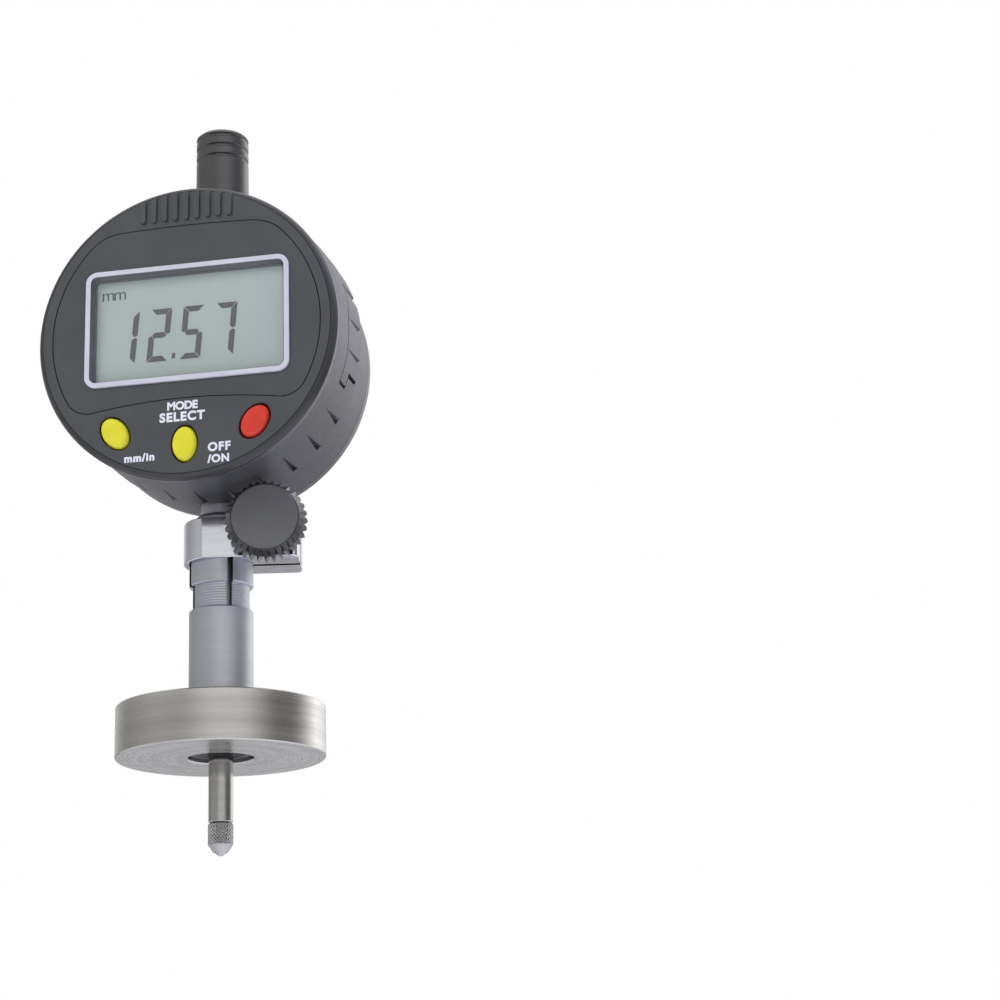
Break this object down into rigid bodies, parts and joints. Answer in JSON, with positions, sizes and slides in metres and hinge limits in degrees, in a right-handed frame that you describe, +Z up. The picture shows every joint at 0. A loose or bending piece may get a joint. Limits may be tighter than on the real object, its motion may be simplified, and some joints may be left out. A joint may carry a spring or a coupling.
{
  "type": "digital dial indicator",
  "caption": "Round digital dial indicator with a notched casing band, window and push buttons, its stem clamped by a serrated knob in the split neck of a disc-shaped depth base.",
  "frame": {"origin": "centre of the back cover's outer face", "axes": "+Z up along the spindle, +Y out of the back cover, the display faces -Y, +X to the right as the display is read"},
  "size_m": [0.0594, 0.0442, 0.1476],
  "materials": {
    "case_plastic": "moulded, fine even texture",
    "knob_plastic": "moulded, sharp serrations",
    "dark_plastic": "moulded, low sheen",
    "window_trim": "pale moulded bar",
    "window_glass": "clear, flat",
    "display": "liquid crystal panel, satin",
    "yellow_plastic": "moulded, domed",
    "red_plastic": "moulded, domed",
    "rubber": "silicone, matt",
    "board": "glass fibre board with solder resist",
    "ground_steel": "ground and brushed",
    "satin_chrome": "satin plated",
    "brass": "turned",
    "cast_alloy": "die cast"
  },
  "bodies": {
    "stand": {"base_disc": "ground_steel", "neck_sleeve": "satin_chrome"},
    "clamp": {"clamp_ring": "satin_chrome"},
    "knob": {"clamp_knob": "knob_plastic", "clamp_screw": "ground_steel"},
    "head": {"body_case": "case_plastic", "front_case": "case_plastic", "face_panel": "case_plastic", "window_frame": "window_trim", "window_lens": "window_glass", "back_cover": "case_plastic", "cover_screw_1": "ground_steel", "cover_screw_2": "ground_steel", "cover_screw_3": "ground_steel", "cover_screw_4": "ground_steel", "display_holder": "window_trim", "display_panel": "display", "contact_strip_top": "rubber", "contact_strip_bottom": "rubber", "main_board": "board", "key_mat": "rubber", "reader_board": "board", "board_header": "dark_plastic", "reader_screw_1": "ground_steel", "reader_screw_2": "ground_steel", "battery_contact_minus": "brass", "battery_contact_plus": "brass", "main_frame": "cast_alloy", "stem": "satin_chrome", "lower_bush": "brass", "upper_bush": "brass", "dust_cap": "dark_plastic", "return_spring": "ground_steel", "spring_post": "ground_steel"},
    "plunger": {"spindle": "ground_steel", "contact_point": "ground_steel", "contact_ball": "ground_steel", "scale_carriage": "cast_alloy", "scale_strip": "board", "guide_pin": "ground_steel", "spring_pin": "ground_steel"},
    "battery_drawer": {"battery_door": "case_plastic", "battery_tray": "dark_plastic", "battery_cell": "satin_chrome"},
    "left_key": {"button_left": "yellow_plastic"},
    "middle_key": {"button_middle": "yellow_plastic"},
    "right_key": {"button_right": "red_plastic"}
  },
  "joints": [
    {"name": "clamp_swivel", "type": "hinge", "parent": "stand", "child": "clamp", "pos_m": [0, -0.008, -0.0365], "axis": [0, 0, 1], "continuous": true},
    {"name": "stem_slide", "type": "slide", "parent": "clamp", "child": "head", "axis": [0, 0, 1], "range_m": [0, 0.012]},
    {"name": "knob_turn", "type": "hinge", "parent": "clamp", "child": "knob", "pos_m": [0.00951, -0.00607, -0.03531], "axis": [0.1994, -0.9799, 0], "range_deg": [0, 720]},
    {"name": "spindle_slide", "type": "slide", "parent": "head", "child": "plunger", "axis": [0, 0, 1], "range_m": [0, 0.025], "stiffness_N_per_m": 20, "springref_m": -0.04, "deforming": ["return_spring"]},
    {"name": "battery_slide", "type": "slide", "parent": "head", "child": "battery_drawer", "axis": [1, 0, 0], "range_m": [0, 0.016]},
    {"name": "left_press", "type": "slide", "parent": "head", "child": "left_key", "axis": [0, 1, 0], "range_m": [0, 0.0005], "stiffness_N_per_m": 1500, "springref_m": -0.0003},
    {"name": "middle_press", "type": "slide", "parent": "head", "child": "middle_key", "axis": [0, 1, 0], "range_m": [0, 0.0005], "stiffness_N_per_m": 1500, "springref_m": -0.0003},
    {"name": "right_press", "type": "slide", "parent": "head", "child": "right_key", "axis": [0, 1, 0], "range_m": [0, 0.0005], "stiffness_N_per_m": 1500, "springref_m": -0.0003}
  ]
}
